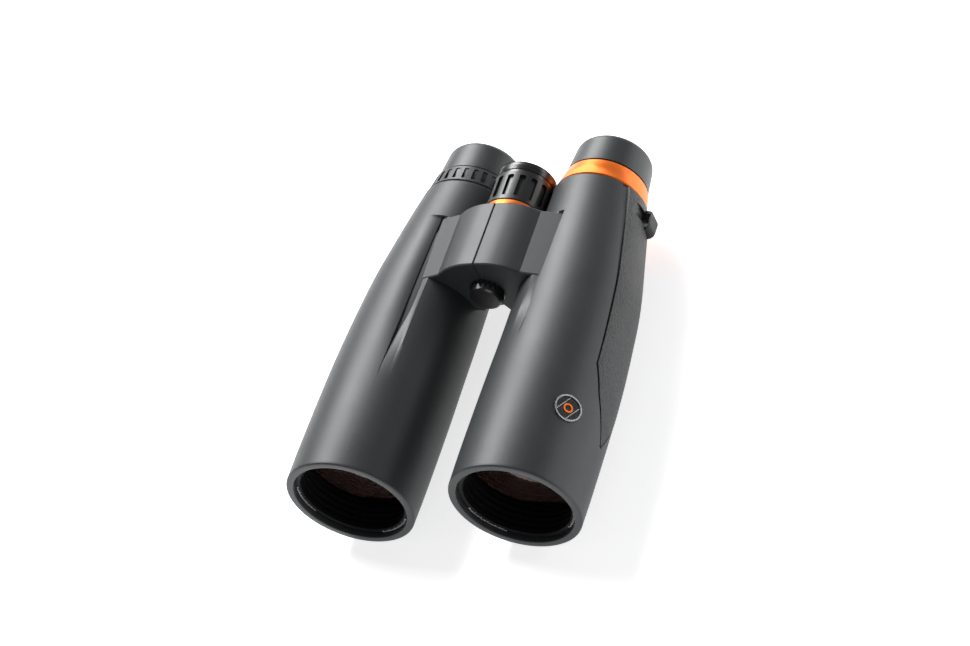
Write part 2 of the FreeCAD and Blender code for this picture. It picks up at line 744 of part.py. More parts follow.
def make_eyecup(side, x, z):
    """The twist-up eyecup: a guide ring that slides on the tube, a sleeve and the rubber."""
    tube, front = D["tube_radius"], D["eyecup_front"]
    guide = tube + 1.2
    wide, end = D["eyecup_radius"], D["eyecup_end_radius"]
    rear = D["total_length"]
    keep(turned("guide", ring_outline(tube + 0.05, guide, 203.6, 211.6), x, z),
         f"{side}_eyecup_guide_ring")
    keep(turned("sleeve", [
        (guide + 0.05, front + 0.2), (20.3, front + 0.2), (20.3, 219.0), (16.2, 219.0),
        (16.2, 216.8), (guide + 0.05, 216.8),
    ], x, z), f"{side}_eyecup_sleeve")
    keep(turned("rubber", [
        (20.3, front), (wide, front), (end, rear - 4.0, 4.6), (17.6, rear), (17.0, rear),
        (15.8, rear - 1.6), (15.8, 219.0), (20.3, 219.0),
    ], x, z), f"{side}_eyecup_rubber")


# ---------------------------------------------------------------- small parts

def lug_block(sign):
    """The strap lug's outer form, rooted in the barrel."""
    front = D["lug_station"] - D["lug_length"] * 0.5
    rear = D["lug_station"] + D["lug_length"] * 0.5
    corner = 3.6
    root = size(55.0 * sign)
    far = D["lug_reach"] * sign
    near = (D["lug_reach"] - corner) * sign
    outline = [
        (root, front), (near, front, corner * sign), (far, front + corner),
        (far, rear - corner, corner * sign), (near, rear), (root, rear),
    ]
    return extruded("lug", outline, D["lug_height"], plane="XY_Plane", y=FRONT,
                    z=AXIS_HEIGHT - D["lug_drop"])


def strap_slot(sign):
    """The upright slot for the strap, which also bites into the barrel's skin."""
    far = D["lug_reach"] - D["lug_bar"]
    half_length = D["lug_slot_length"] * 0.5
    return box(*sorted_pair(sign, far - D["lug_slot_width"], far), D["lug_station"] - half_length,
               D["lug_station"] + half_length, AXIS_HEIGHT - 20.0, AXIS_HEIGHT + 20.0)


def make_lug(side, sign):
    """A strap lug with a slot for the strap."""
    keep(cut(lug_block(sign), casting_form(sign), strap_slot(sign)), f"{side}_strap_lug")


def bridge_screw_spots(sign):
    """Where the two screws under each half bridge stand."""
    return [(size(10.0 * sign), station) for station in (126.5, 157.0)]


def screw_shank(radius, low, high, x, station):
    """An upright screw cylinder under the bridge."""
    obj = doc.addObject("Part::Cylinder", "screw")
    bind(obj, "Radius", radius)
    bind(obj, "Height", size(high) - low)
    return place(obj, x, FRONT + station, HINGE_HEIGHT + low)


def make_bridge_screws(side, sign):
    """The screws that hold the half cover's floor."""
    screws = [screw_shank(1.4, -15.4, -12.9, x, station) for x, station in bridge_screw_spots(sign)]
    keep(fuse(*screws), f"{side}_bridge_screws")


def badge_cylinder(radius, low, high):
    """A cylinder that stands out of the left barrel where the badge sits."""
    obj = doc.addObject("Part::Cylinder", "badge")
    bind(obj, "Radius", radius)
    bind(obj, "Height", size(high) - low)
    tilt = Rotation(Vector(0, 1, 0), 90.0 - D["badge_angle"].value)
    across = math.cos(math.radians(D["badge_angle"].value))
    up = math.sin(math.radians(D["badge_angle"].value))
    return place(obj, barrel_x(1, 0) + size(low) * across, FRONT + D["badge_station"],
                 barrel_z(0) + size(low) * up, tilt)


BADGE_FLOOR = 32.2


def make_badge():
    """The round badge: a bright ring, a dark plate and a raised lens-shaped mark."""
    inner = D["badge_radius"] - D["badge_rim"]
    ring = cut(badge_cylinder(D["badge_radius"], BADGE_FLOOR, 34.1), badge_cylinder(inner, 30.0, 36.0))
    keep(ring, "badge_ring")
    mark = cut(badge_cylinder(2.4, 33.4, 33.8), badge_cylinder(1.7, 33.0, 34.0))
    keep(fuse(badge_cylinder(inner, BADGE_FLOOR, 33.5), mark), "badge_plate")


# ---------------------------------------------------------------- the whole object

for half, direction in HALVES.items():
    make_skin(half, direction)
    make_objective(half, direction)
    make_focus_cell(half, direction)
    make_prisms(half, direction)
    make_eyepiece(half, direction)
    make_lug(half, direction)
    make_bridge_screws(half, direction)
make_hinge()
make_tripod_cap()
make_focus_wheel()
make_focus_carriage()
make_badge()


# ---------------------------------------------------------------- run

def check_and_write():
    """Stop on any failed object or shape, then write each sub-part."""
    doc.recompute()
    for obj in doc.Objects:
        if "Invalid" in obj.State or "Error" in obj.State:
            raise SystemExit(f"{obj.Label} failed: {obj.State}")
    for obj in finished:
        if obj.Shape.isNull() or not obj.Shape.isValid():
            raise SystemExit(f"{obj.Label} has no valid shape")
    os.makedirs("parts", exist_ok=True)
    for obj in finished:
        obj.Shape.exportStep(f"parts/{obj.Label}.step")
        print(obj.Label, len(obj.Shape.Solids), round(obj.Shape.Volume))


check_and_write()
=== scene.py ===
"""The looks of the roof-prism binoculars: skins, materials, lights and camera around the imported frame."""
import json
import math

import bmesh
import bpy
from mathutils import Matrix, Vector


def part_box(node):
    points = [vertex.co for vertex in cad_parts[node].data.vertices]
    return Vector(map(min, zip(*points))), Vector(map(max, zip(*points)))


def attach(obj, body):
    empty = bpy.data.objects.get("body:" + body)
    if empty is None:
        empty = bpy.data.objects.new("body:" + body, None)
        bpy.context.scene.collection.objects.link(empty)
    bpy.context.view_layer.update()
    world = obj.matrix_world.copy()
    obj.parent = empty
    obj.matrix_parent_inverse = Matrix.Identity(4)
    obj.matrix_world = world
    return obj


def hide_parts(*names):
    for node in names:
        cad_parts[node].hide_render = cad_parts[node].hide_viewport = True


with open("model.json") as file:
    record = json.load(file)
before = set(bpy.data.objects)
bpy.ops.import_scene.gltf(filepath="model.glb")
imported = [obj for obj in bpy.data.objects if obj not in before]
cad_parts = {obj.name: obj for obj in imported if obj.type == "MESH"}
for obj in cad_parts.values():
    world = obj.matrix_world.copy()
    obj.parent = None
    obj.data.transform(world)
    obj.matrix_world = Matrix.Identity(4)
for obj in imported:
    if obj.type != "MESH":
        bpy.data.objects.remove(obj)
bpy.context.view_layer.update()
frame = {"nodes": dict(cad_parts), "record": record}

MM = 0.001
NODES = frame["nodes"]
SIDES = {"left": 1, "right": -1}

# ---------------------------------------------------------------- places read from the frame

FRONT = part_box("left_armour")[0].y
rim_low, rim_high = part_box("left_objective_bezel")
OBJECTIVE_X = (rim_low.x + rim_high.x) / 2
OBJECTIVE_Z = (rim_low.z + rim_high.z) / 2
foot_low, foot_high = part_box("left_trim_ring")
EYEPIECE_X = (foot_low.x + foot_high.x) / 2
EYEPIECE_Z = (foot_low.z + foot_high.z) / 2
cap_low, cap_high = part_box("tripod_cap")
HINGE_Z = (cap_low.z + cap_high.z) / 2
bridge_low, bridge_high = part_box("left_bridge_cover")


def station(value):
    """Y of a distance in millimetres behind the front rim."""
    return FRONT + value * MM


# ---------------------------------------------------------------- materials

def new_material(name):
    """A new node material, with its node tree and its Principled shader."""
    material = bpy.data.materials.new(name)
    material.use_nodes = True
    tree = material.node_tree
    shader = tree.nodes["Principled BSDF"]
    return material, tree, shader


def add(tree, kind, **values):
    """Add a node and set its inputs or properties by name."""
    node = tree.nodes.new(kind)
    for key, value in values.items():
        if key in node.inputs:
            node.inputs[key].default_value = value
        else:
            setattr(node, key, value)
    return node


def object_point(tree, stretch=(1.0, 1.0, 1.0)):
    """Texture coordinates in the object's own metres, optionally stretched."""
    coordinates = add(tree, "ShaderNodeTexCoord")
    mapping = add(tree, "ShaderNodeMapping")
    mapping.inputs["Scale"].default_value = stretch
    tree.links.new(coordinates.outputs["Object"], mapping.inputs["Vector"])
    return mapping.outputs["Vector"]


def noise(tree, point, scale, detail=3.0, roughness=0.55):
    """A noise value at a scale per metre."""
    node = add(tree, "ShaderNodeTexNoise", Scale=scale, Detail=detail, Roughness=roughness)
    tree.links.new(point, node.inputs["Vector"])
    return node.outputs["Fac"]


def spread(tree, value, low, high):
    """Map a 0..1 value to a range."""
    node = add(tree, "ShaderNodeMapRange")
    node.inputs["To Min"].default_value = low
    node.inputs["To Max"].default_value = high
    tree.links.new(value, node.inputs["Value"])
    return node.outputs["Result"]


def blend_colours(tree, factor, first, second):
    """Mix two colours by a value."""
    node = add(tree, "ShaderNodeMix", data_type="RGBA")
    node.inputs[6].default_value = (*first, 1.0)
    node.inputs[7].default_value = (*second, 1.0)
    tree.links.new(factor, node.inputs["Factor"])
    return node.outputs[2]


def bump(tree, shader, height, distance, strength=1.0, below=None):
    """Bump from a height, in metres of relief, on top of another bump if given."""
    node = add(tree, "ShaderNodeBump", Distance=distance, Strength=strength)
    tree.links.new(height, node.inputs["Height"])
    if below is not None:
        tree.links.new(below, node.inputs["Normal"])
    tree.links.new(node.outputs["Normal"], shader.inputs["Normal"])
    return node.outputs["Normal"]


def rubber(name, dark, light, rough, grain, relief):
    """Moulded rubber: fine grain, faint mottling and rub marks in the roughness."""
    material, tree, shader = new_material(name)
    point = object_point(tree)
    mottle = noise(tree, point, scale=90.0, detail=4.0)
    tree.links.new(blend_colours(tree, mottle, dark, light), shader.inputs["Base Color"])
    rubbed = noise(tree, point, scale=35.0, detail=6.0, roughness=0.65)
    tree.links.new(spread(tree, rubbed, rough - 0.05, rough + 0.06), shader.inputs["Roughness"])
    swells = noise(tree, point, scale=grain * 0.35, detail=2.0)
    broad = bump(tree, shader, swells, distance=relief * 1.2, strength=0.35)
    grains = noise(tree, point, scale=grain, detail=2.0, roughness=0.6)
    bump(tree, shader, grains, distance=relief, strength=0.7, below=broad)
    return material


PEBBLE_SHIFT = 0.0012


def pebbled(name, dark, light):
    """Leather-like pebbles for the side grips, painted lighter on their crowns and painted darker in the
    dips between them as shade.
    """
    material, tree, shader = new_material(name)
    point = object_point(tree)
    cells = add(tree, "ShaderNodeTexVoronoi", Scale=780.0, feature="SMOOTH_F1", Smoothness=0.35)
    wobble = add(tree, "ShaderNodeTexNoise", Scale=420.0, Detail=2.0)
    tree.links.new(point, wobble.inputs["Vector"])
    shift = add(tree, "ShaderNodeVectorMath", operation="MULTIPLY_ADD")
    shift.inputs[1].default_value = (PEBBLE_SHIFT, PEBBLE_SHIFT, PEBBLE_SHIFT)
    tree.links.new(wobble.outputs["Color"], shift.inputs[0])
    tree.links.new(point, shift.inputs[2])
    tree.links.new(shift.outputs["Vector"], cells.inputs["Vector"])
    crowns = spread(tree, cells.outputs["Distance"], 1.0, 0.0)
    # Painted shade: the colour follows the pebble relief, light on the crowns and dark in the dips between
    # the pebbles.
    colour = blend_colours(tree, cells.outputs["Distance"], light, dark)
    tree.links.new(colour, shader.inputs["Base Color"])
    worn = noise(tree, point, scale=60.0, detail=5.0)
    tree.links.new(spread(tree, worn, 0.44, 0.6), shader.inputs["Roughness"])
    relief = bump(tree, shader, crowns, distance=0.00035, strength=0.75)
    grains = noise(tree, point, scale=3200.0, detail=2.0)
    bump(tree, shader, grains, distance=0.00006, strength=0.5, below=relief)
    return material


ALONG_THE_RINGS = 6.0


def turned_metal(name, colour, deep, rough, line=5200.0, anisotropy=0.55, metallic=1.0):
    """Anodised metal with the fine rings that a lathe leaves."""
    material, tree, shader = new_material(name)
    drawn_out = object_point(tree, (ALONG_THE_RINGS, line, ALONG_THE_RINGS))
    rings = noise(tree, drawn_out, scale=1.0, roughness=0.7)
    tone = noise(tree, object_point(tree), scale=140.0)
    tree.links.new(blend_colours(tree, tone, colour, deep), shader.inputs["Base Color"])
    tree.links.new(spread(tree, rings, rough - 0.05, rough + 0.09), shader.inputs["Roughness"])
    shader.inputs["Metallic"].default_value = metallic
    shader.inputs["Anisotropic"].default_value = anisotropy
    bump(tree, shader, rings, distance=0.00002, strength=0.35)
    return material


def plastic(name, dark, light, rough, relief=0.00002, coat=0.0, specular=0.5):
    """Moulded black plastic: nearly smooth, with a faint orange-peel and dust."""
    material, tree, shader = new_material(name)
    point = object_point(tree)
    dust = noise(tree, point, scale=160.0, detail=5.0, roughness=0.7)
    tree.links.new(blend_colours(tree, dust, dark, light), shader.inputs["Base Color"])
    tree.links.new(spread(tree, dust, rough - 0.05, rough + 0.08), shader.inputs["Roughness"])
    shader.inputs["Specular IOR Level"].default_value = specular
    shader.inputs["Coat Weight"].default_value = coat
    shader.inputs["Coat Roughness"].default_value = 0.12
    peel = noise(tree, point, scale=1400.0, detail=2.0)
    bump(tree, shader, peel, distance=relief, strength=0.5)
    return material


HAZE_LOSS = 0.93


def coated_glass(name, tint, reflection):
    """Lens glass whose coating reflects a warm brown."""
    material, tree, shader = new_material(name)
    shader.inputs["Transmission Weight"].default_value = 1.0
    shader.inputs["IOR"].default_value = 1.5
    shader.inputs["Roughness"].default_value = 0.0
    shader.inputs["Specular IOR Level"].default_value = 0.3
    shader.inputs["Specular Tint"].default_value = (*reflection, 1.0)
    haze = noise(tree, object_point(tree), scale=70.0, detail=4.0)
    faint = [channel * HAZE_LOSS for channel in tint]
    tree.links.new(blend_colours(tree, haze, tint, faint), shader.inputs["Base Color"])
    return material


ARMOUR = rubber("armour_rubber", (0.021, 0.025, 0.027), (0.027, 0.031, 0.033),
                rough=0.48, grain=2300.0, relief=0.00006)
GRIP = pebbled("side_grip_rubber", (0.010, 0.011, 0.012), (0.026, 0.029, 0.031))
BLACK_RUBBER = rubber("black_rubber", (0.011, 0.012, 0.013), (0.017, 0.018, 0.019),
                      rough=0.36, grain=1500.0, relief=0.00003)
CUP_RUBBER = rubber("eyecup_rubber", (0.019, 0.022, 0.024), (0.025, 0.028, 0.030),
                    rough=0.45, grain=2000.0, relief=0.00004)
ORANGE = turned_metal("orange_anodised", (1.0, 0.215, 0.022), (0.95, 0.185, 0.016),
                      rough=0.4, metallic=0.65)
BLACK_METAL = turned_metal("black_anodised", (0.035, 0.036, 0.038), (0.025, 0.026, 0.028), rough=0.33)
STEEL = turned_metal("turned_steel", (0.58, 0.58, 0.60), (0.50, 0.50, 0.52), rough=0.26)
CHROME = turned_metal("bright_ring_metal", (0.50, 0.51, 0.52), (0.40, 0.41, 0.42),
                      rough=0.2, line=2400.0, anisotropy=0.3)
BRASS = turned_metal("brass", (0.70, 0.48, 0.20), (0.62, 0.42, 0.17), rough=0.25)
BLACK_PLASTIC = plastic("black_plastic", (0.010, 0.011, 0.012), (0.018, 0.019, 0.020), rough=0.34)
GLOSS_PLASTIC = plastic("gloss_plastic", (0.012, 0.012, 0.014), (0.016, 0.016, 0.018),
                        rough=0.16, coat=0.6)
WHEEL_PLASTIC = plastic("wheel_plastic", (0.010, 0.010, 0.011), (0.015, 0.015, 0.016),
                        rough=0.3, coat=0.15)
LUG_PLASTIC = plastic("lug_plastic", (0.008, 0.009, 0.010), (0.014, 0.015, 0.016),
                      rough=0.42, specular=0.25)
CASTING = plastic("painted_casting", (0.020, 0.021, 0.023), (0.030, 0.031, 0.033),
                  rough=0.5, relief=0.00005)
BAFFLE = plastic("baffle_black", (0.0035, 0.0035, 0.004), (0.006, 0.006, 0.0065),
                 rough=0.5, relief=0.00004, specular=0.15)
WHITE_PRINT = plastic("white_print", (0.62, 0.63, 0.64), (0.72, 0.73, 0.74), rough=0.5)
GLASS = coated_glass("coated_glass", (0.60, 0.52, 0.50), (1.0, 0.66, 0.55))
# Painted shade: the objective glass is the coated glass with a far darker tint, standing in for the dark
# inside of the barrel behind it.
SHADED_FRONT_GLASS = coated_glass("objective_glass_painted_shade", (0.16, 0.125, 0.12), (1.0, 0.66, 0.55))

LOOKS = {
    "armour": ARMOUR, "side_grip": GRIP, "casting": CASTING, "glass": GLASS,
    "black_rubber": BLACK_RUBBER, "orange_metal": ORANGE, "bright_metal": CHROME,
    "dark_plate": GLOSS_PLASTIC, "steel": STEEL, "brass": BRASS, "black_plastic": BLACK_PLASTIC,
    "black_metal": BLACK_METAL,
}
SPECIAL_LOOKS = {
    "left_objective_bezel": BAFFLE, "right_objective_bezel": BAFFLE,
    "left_objective_cell": BAFFLE, "right_objective_cell": BAFFLE,
    "left_focus_cell": BAFFLE, "right_focus_cell": BAFFLE,
    "left_prism_cage": BAFFLE, "right_prism_cage": BAFFLE,
    "left_eyecup_rubber": CUP_RUBBER, "right_eyecup_rubber": CUP_RUBBER,
    "left_objective_lens_front": SHADED_FRONT_GLASS, "right_objective_lens_front": SHADED_FRONT_GLASS,
    "left_strap_lug": LUG_PLASTIC, "right_strap_lug": LUG_PLASTIC,
    "focus_wheel_cap": WHEEL_PLASTIC, "tripod_cap": WHEEL_PLASTIC,
    "dioptre_ring": CUP_RUBBER,
}
EDGE_ROUNDS = {
    "focus_wheel_grip": 0.25, "focus_wheel_cap": 0.2, "focus_wheel_ring": 0.2, "tripod_cap": 0.18,
    "dioptre_ring": 0.2, "left_strap_lug": 0.4, "right_strap_lug": 0.4, "left_trim_ring": 0.15,
}
ROUNDED_FROM = math.radians(30)


def dress_nodes():
    """Give every CAD node its material, and fine rounds where its edges catch the light."""
    slot_of = {part["node"]: part["material_slot"] for part in frame["record"]["subparts"]}
    for name, node in NODES.items():
        node.data.materials.clear()
        node.data.materials.append(SPECIAL_LOOKS.get(name, LOOKS[slot_of[name]]))
        if name in EDGE_ROUNDS:
            rounding = node.modifiers.new("edge_round", "BEVEL")
            rounding.width = EDGE_ROUNDS[name] * MM
            rounding.segments = 2
            rounding.limit_method = "ANGLE"
            rounding.angle_limit = ROUNDED_FROM
            rounding.harden_normals = True


dress_nodes()

# ---------------------------------------------------------------- mesh building

def place_object(name, mesh, body, material, crease=32.0):
    """Link a finished mesh, smooth it, dress it and let it ride on its body."""
    mesh.validate()
    mesh.update()
    for face in mesh.polygons:
        face.use_smooth = True
    mesh.set_sharp_from_angle(angle=math.radians(crease))
    mesh.materials.append(material)
    piece = bpy.data.objects.new(name, mesh)
    bpy.context.scene.collection.objects.link(piece)
    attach(piece, body)
    return piece


def face_outward(mesh, caps=()):
    """Close rings of points with a face each, and turn every face of the mesh outward."""
    shape = bmesh.new()
    shape.from_mesh(mesh)
    shape.verts.ensure_lookup_table()
    for cap in caps:
        shape.faces.new([shape.verts[index] for index in cap])
    bmesh.ops.recalc_face_normals(shape, faces=shape.faces)
    shape.to_mesh(mesh)
    shape.free()


def grid_mesh(name, rows, close_rows=True):
    """A mesh from rows of points; each row is a closed ring, and the rows close on each other."""
    mesh = bpy.data.meshes.new(name)
    count = len(rows[0])
    points = [point for row in rows for point in row]
    faces = []
    total = len(rows) if close_rows else len(rows) - 1
    for index in range(total):
        here = index * count
        there = ((index + 1) % len(rows)) * count
        for step in range(count):
            after = (step + 1) % count
            faces.append((here + step, here + after, there + after, there + step))
    mesh.from_pydata(points, [], faces)
    face_outward(mesh)
    return mesh


def smooth_curve(knots, at):
    """The value at a place of a smooth curve through (place, value) knots."""
    last = len(knots) - 2
    index = max(0, min(last, next((i - 1 for i, knot in enumerate(knots) if knot[0] > at), last)))
    (x0, y0), (x1, y1) = knots[index], knots[index + 1]
    before = knots[index - 1] if index > 0 else knots[index]
    after = knots[index + 2] if index < last else knots[index + 1]
    slope0 = (y1 - before[1]) / (x1 - before[0])
    slope1 = (after[1] - y0) / (after[0] - x0)
    span = x1 - x0
    u = min(1.0, max(0.0, (at - x0) / span))
    h00, h10 = 2 * u ** 3 - 3 * u ** 2 + 1, u ** 3 - 2 * u ** 2 + u
    h01, h11 = -2 * u ** 3 + 3 * u ** 2, u ** 3 - u ** 2
    return h00 * y0 + h10 * span * slope0 + h01 * y1 + h11 * span * slope1


def ease(value, start, end):
    """0 before start, 1 after end, smooth between; start may be the larger."""
    u = min(1.0, max(0.0, (value - start) / (end - start)))
    return u * u * (3 - 2 * u)


# ---------------------------------------------------------------- barrel skins
# Everything here is in millimetres until it becomes a mesh point.

ARMOUR_RADIUS = ((0, 33.2), (20, 33.5), (60, 33.4), (84, 32.9), (108, 32.1), (130, 31.0),
                 (150, 29.4), (170, 27.6), (189.4, 25.6))
TOWARD_EYEPIECE = ((0, 0), (20, 0), (60, 0), (84, 0.02), (108, 0.12), (130, 0.25), (150, 0.48),
                   (170, 0.72), (189.4, 1.0))
MOUTH_RADIUS = 29.3
MOUTH_DEPTH = 2.3
SKIN = 1.9
TAIL = 189.4
TAIL_HOLE = 22.75
TAIL_CHAMFER = 0.6
TAIL_ROUND = 0.18
RIM_ROUND = 0.9
LIP_ROUND = 0.5
WHEEL_ROOM = 17.2
WHEEL_ROOM_FRONT = 164.2
INNER_STATIONS = (2.4, 20, 60, 84, 108, 130, 150, 164.0, 170, 180, TAIL - 1.0)
BRIDGE_SPAN = ((bridge_low.y - FRONT) / MM, (bridge_high.y - FRONT) / MM)
WALL_X = 35.0
WING_X, WING_Z, WING_SLOPE = 25.0, 13.5, -0.25
WING_SINK = 0.35
WING_INNER_X = 29.5
WING_FORWARD = {1: 80.0, -1: 52.0}
WING_REAR_RUN = (0.5, -0.1)
SHOULDER, SHOULDER_DROP = 10.0, 1.5
WALL_GROOVE = 0.7
FOOT_GROOVE = 0.2
GRIP_TIP = (36.3, -2.2)
TIP_LENGTH, TIP_HALF, TIP_SLOPE = 1.5, 1.0, 0.7
GRIP_REAR = 192.0
GRIP_TOP = ((36.3, -2.2), (58.2, 11.0), (73.4, 16.9), (GRIP_REAR, 16.9))
GRIP_BOTTOM = ((36.3, -2.2), (58.2, -15.4), (73.4, -21.3), (GRIP_REAR, -21.3))
GRIP_DEPTH = 1.06
GRIP_START = GRIP_TIP[0] + 1.0
BADGE = (41.6, math.radians(42.7))
BADGE_RECESS, BADGE_OUTER, BADGE_INNER = 1.2, 6.9, 6.0
EDGE = 0.15
LUG_SPAN = (172.0, 186.0)
LUG_BAND = 12.0
LUG_FLOOR = 64.0


def centre_line(at):
    """The barrel's centre at a station: distance from the middle plane, and height."""
    toward = smooth_curve(TOWARD_EYEPIECE, at)
    across = (abs(OBJECTIVE_X) + (abs(EYEPIECE_X) - abs(OBJECTIVE_X)) * toward) / MM
    height = (OBJECTIVE_Z + (EYEPIECE_Z - OBJECTIVE_Z) * toward) / MM
    return across, height


def clamped(value, limit):
    """The value, held between minus the limit and the limit."""
    return max(-limit, min(limit, value))


def straight(knots, at):
    """The value at a place on straight runs through knots."""
    for (x0, y0), (x1, y1) in zip(knots, knots[1:]):
        if at <= x1:
            return y0 + (y1 - y0) * max(0.0, (at - x0)) / (x1 - x0)
    return knots[-1][1]


def angle_of_height(height, radius):
    """Angle above the outward direction of a height over the barrel's centre."""
    return math.asin(clamped(height / radius, 0.95))


def angle_of_width(x, radius, across, limit):
    """Angle above the outward direction of a distance from the middle plane, on the upper side."""
    return math.acos(clamped((x - across) / radius, limit))


def wall_angle(radius, across):
    """Angle of the wall beside the bridge."""
    return angle_of_width(WALL_X, radius, across, 0.9)


# The stretches between key angles: edge, grip, edge, upper side, wall's top, wall, wall's foot, wing, rest.
COLUMNS = (1, 44, 1, 60, 2, 1, 2, 8, 96)
GRIP_STRETCHES = (1, 2)
WALL_STRETCHES = (3, 4, 5)
WALL_GROOVE_COLUMNS = ((4, 1), (5, 0))
FOOT_GROOVE_COLUMN = (6, 0)
WING_STRETCHES = (6, 7)


def key_angles(at, radius, across):
    """Angles that the mesh's columns follow: grip edges, the wall beside the bridge, the wing's end."""
    top, bottom = straight(GRIP_TOP, at), straight(GRIP_BOTTOM, at)
    if at < GRIP_TIP[0] + TIP_LENGTH:
        half = TIP_HALF + TIP_SLOPE * abs(GRIP_TIP[0] - at)
        top, bottom = GRIP_TIP[1] + half, GRIP_TIP[1] - half
    upper, lower = angle_of_height(top, radius), angle_of_height(bottom, radius)
    wall = wall_angle(radius, across)
    wing = angle_of_width(WING_INNER_X, radius, across, 0.95)
    edge = EDGE / radius
    return [lower - edge, lower + edge, upper - edge, upper + edge, wall - 4 * edge, wall - edge,
            wall + edge, wall + 5 * edge, max(wing, wall + 9 * edge), lower - edge + 2 * math.pi]


def column_angles(at, radius, across):
    """Every column's angle at a station, with a tag for which stretch it starts in."""
    keys = key_angles(at, radius, across)
    angles = []
    for stretch, (start, end, count) in enumerate(zip(keys, keys[1:], COLUMNS)):
        for step in range(count):
            angles.append((start + (end - start) * step / count, stretch, step))
    return angles


def wing_fade(sign, at):
    """How deep the facet beside the bridge is: whole along the bridge, fading out toward the rim."""
    fade = ease(at, WING_FORWARD[sign], BRIDGE_SPAN[0])
    return fade * ease(at, BRIDGE_SPAN[1] + WING_REAR_RUN[0], BRIDGE_SPAN[1] + WING_REAR_RUN[1])


def wheel_clearance(direction, across, height):
    """Distance from the barrel's centre to the room left for the focus wheel, or None."""
    away = (-across, HINGE_Z / MM - height)
    along = direction[0] * away[0] + direction[1] * away[1]
    miss = abs(direction[0] * away[1] - direction[1] * away[0])
    if along > 0 and miss < WHEEL_ROOM:
        return along - math.sqrt(WHEEL_ROOM ** 2 - miss ** 2)
    return None


def skin_radius(sign, at, radius, across, height, angle, stretch, step):
    """The outer skin's distance from the barrel's centre, with its grooves and recesses."""
    result = radius
    direction = (math.cos(angle), math.sin(angle))
    if stretch in GRIP_STRETCHES and GRIP_START < at < GRIP_REAR:
        result -= GRIP_DEPTH
        if LUG_SPAN[0] < at < LUG_SPAN[1] and abs(result * direction[1]) < LUG_BAND:
            result = min(result, (LUG_FLOOR - across) / direction[0])
    fade = wing_fade(sign, at)
    if fade > 0 and stretch in WALL_STRETCHES:
        from_wall = (wall_angle(radius, across) - angle) * radius
        if sign < 0 and from_wall < SHOULDER:
            result -= SHOULDER_DROP * fade * (1 - from_wall / SHOULDER) ** 2
        if sign > 0 and (stretch, step) in WALL_GROOVE_COLUMNS:
            result -= WALL_GROOVE * min(1.0, fade * 2)
    if fade > 0 and stretch in WING_STRETCHES:
        top = HINGE_Z / MM + WING_Z - WING_SINK - height
        reach = (top + WING_SLOPE * (across - WING_X)) / (direction[1] - WING_SLOPE * direction[0])
        result = radius - max(0.0, radius - reach) * fade
        if sign < 0 and (stretch, step) == FOOT_GROOVE_COLUMN:
            result -= FOOT_GROOVE * min(1.0, fade * 1.5)
    if at > WHEEL_ROOM_FRONT:
        clear = wheel_clearance(direction, across, height)
        if clear is not None:
            result = min(result, clear)
    if sign > 0:
        from_badge = math.hypot((angle - BADGE[1]) * radius, at - BADGE[0])
        result -= BADGE_RECESS * ease(from_badge, BADGE_OUTER, BADGE_INNER)
    return result


def spaced(start, pitch, count):
    """Evenly spaced stations."""
    return [start + pitch * step for step in range(count)]


def skin_stations():
    """Stations of the mesh's rows along the outside, closer together where the shape changes."""
    rows = [RIM_ROUND, 2.0, 4.0] + spaced(6.0, 2.4, 11) + spaced(33.0, 0.8, 22) + spaced(51.4, 1.5, 5)
    rows += [58.2, 60.0, 63.0, 66.0, 69.0, 72.0, 73.4] + spaced(76.0, 3.2, 14) + spaced(120.9, 2.6, 16)
    rows += [162.4, 162.8, 163.3, WHEEL_ROOM_FRONT - EDGE, WHEEL_ROOM_FRONT + EDGE]
    rows += spaced(166.0, 2.1, 10) + [187.0, 188.3, TAIL - TAIL_CHAMFER]
    return rows


def skin_row(sign, at, y, inset=0.0, fixed=None):
    """One ring of mesh points at a station; fixed gives a plain radius."""
    across, height = centre_line(at)
    radius = smooth_curve(ARMOUR_RADIUS, at)
    ring = []
    for angle, stretch, step in column_angles(at, radius, across):
        if fixed is None:
            reach = skin_radius(sign, at, radius, across, height, angle, stretch, step) - inset
        else:
            reach = fixed
        x = sign * (across + reach * math.cos(angle))
        z = height + reach * math.sin(angle)
        ring.append((x * MM, station(y), z * MM))
    return ring


def make_skin(side, sign):
    """The rubber armour of one barrel as one closed shell, from the tail round the rim and back."""
    rows = [skin_row(sign, TAIL, TAIL, fixed=TAIL_HOLE),
            skin_row(sign, TAIL, TAIL, inset=TAIL_CHAMFER),
            skin_row(sign, TAIL, TAIL - TAIL_ROUND, inset=TAIL_ROUND)]
    for at in reversed(skin_stations()):
        rows.append(skin_row(sign, at, at))
    for step in (1, 2, 3):
        turn = math.radians(30 * step)
        rows.append(skin_row(sign, RIM_ROUND, RIM_ROUND * (1 - math.sin(turn)),
                             inset=RIM_ROUND * (1 - math.cos(turn))))
    for step in (0, 1, 2, 3):
        turn = math.radians(30 * step)
        rows.append(skin_row(sign, RIM_ROUND, LIP_ROUND * (1 - math.cos(turn)),
                             fixed=MOUTH_RADIUS + LIP_ROUND * (1 - math.sin(turn))))
    rows.append(skin_row(sign, RIM_ROUND, MOUTH_DEPTH, fixed=MOUTH_RADIUS))
    for at in INNER_STATIONS:
        rows.append(skin_row(sign, at, at, inset=SKIN))
    mesh = grid_mesh(f"{side}_armour_skin", rows)
    piece = place_object(f"{side}_armour_skin", mesh, f"{side}_half", ARMOUR)
    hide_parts(f"{side}_armour")


# ---------------------------------------------------------------- bridge skins

